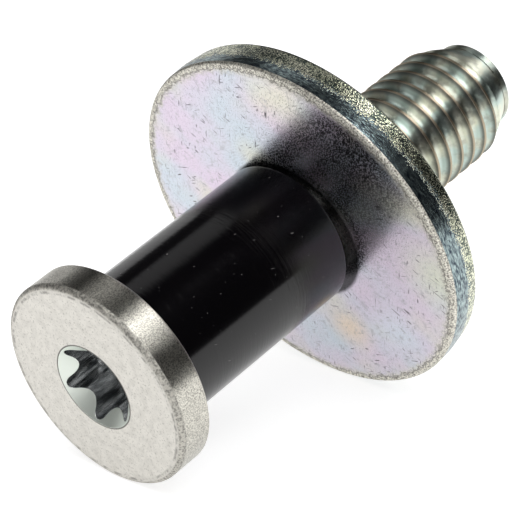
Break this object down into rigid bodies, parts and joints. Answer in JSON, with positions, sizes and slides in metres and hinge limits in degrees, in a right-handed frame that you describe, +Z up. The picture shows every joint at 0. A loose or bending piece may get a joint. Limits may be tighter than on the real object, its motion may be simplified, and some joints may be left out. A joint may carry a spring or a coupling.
{
  "type": "tailgate striker bolt",
  "caption": "Disc-head striker bolt with a six-lobe drive recess, a black sleeve for a latch to close on, a large captive washer and a threaded stud.",
  "frame": {"origin": "on the table, below the middle of the bolt's length and width, as the bolt lies", "axes": "+X along the table from the head to the stud, +Z up; the bolt's axis rises 15.76 degrees from +X towards the stud"},
  "size_m": [0.0468, 0.03, 0.0291],
  "materials": {
    "bolt_zinc": "zinc-plated cold-formed steel, satin",
    "sleeve_black": "glossy black plastic with fine turning lines",
    "washer_zinc": "zinc-plated punched steel with a faint chromate tint"
  },
  "bodies": {
    "bolt": {"striker_bolt": "bolt_zinc"},
    "sleeve": {"sleeve": "sleeve_black"},
    "washer": {"washer": "washer_zinc"}
  },
  "joints": [
    {"name": "sleeve_turn", "type": "hinge", "parent": "bolt", "child": "sleeve", "pos_m": [-0.00931, 0, 0.01142], "axis": [0.9624, 0, 0.2716], "continuous": true},
    {"name": "washer_turn", "type": "hinge", "parent": "bolt", "child": "washer", "pos_m": [0.00207, 0, 0.01463], "axis": [0.9351, 0, 0.3545], "continuous": true}
  ]
}
